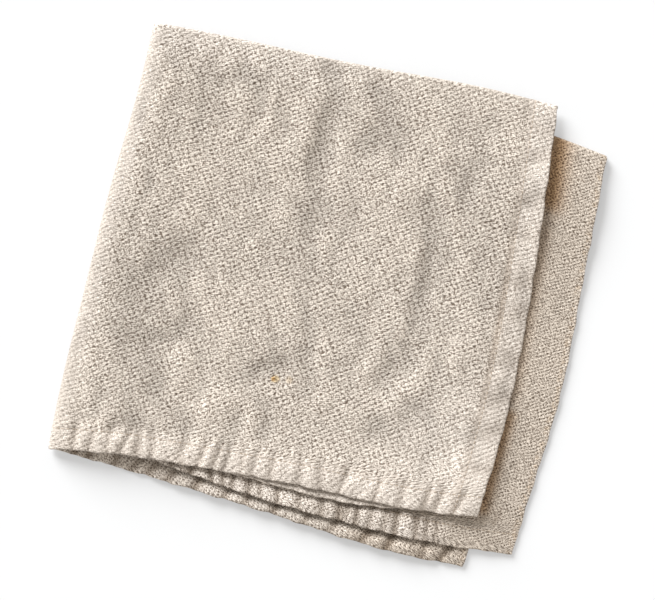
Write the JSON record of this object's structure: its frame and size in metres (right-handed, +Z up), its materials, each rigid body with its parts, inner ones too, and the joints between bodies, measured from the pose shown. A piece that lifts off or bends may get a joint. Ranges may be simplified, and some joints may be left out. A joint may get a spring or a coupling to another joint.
{
  "type": "folded cloth napkin",
  "caption": "Square table napkin of coarse natural linen with puckered hems, folded into a loose flat square that lies on a table.",
  "frame": {"origin": "centre of the footprint, on the surface that the napkin lies on", "axes": "+X along the far fold towards the open side, +Y along the left fold towards the far fold, +Z up"},
  "size_m": [0.2608, 0.2506, 0.0125],
  "materials": {
    "linen": "coarse natural weave, matt"
  },
  "bodies": {
    "root": {"napkin": "linen"}
  },
  "joints": []
}
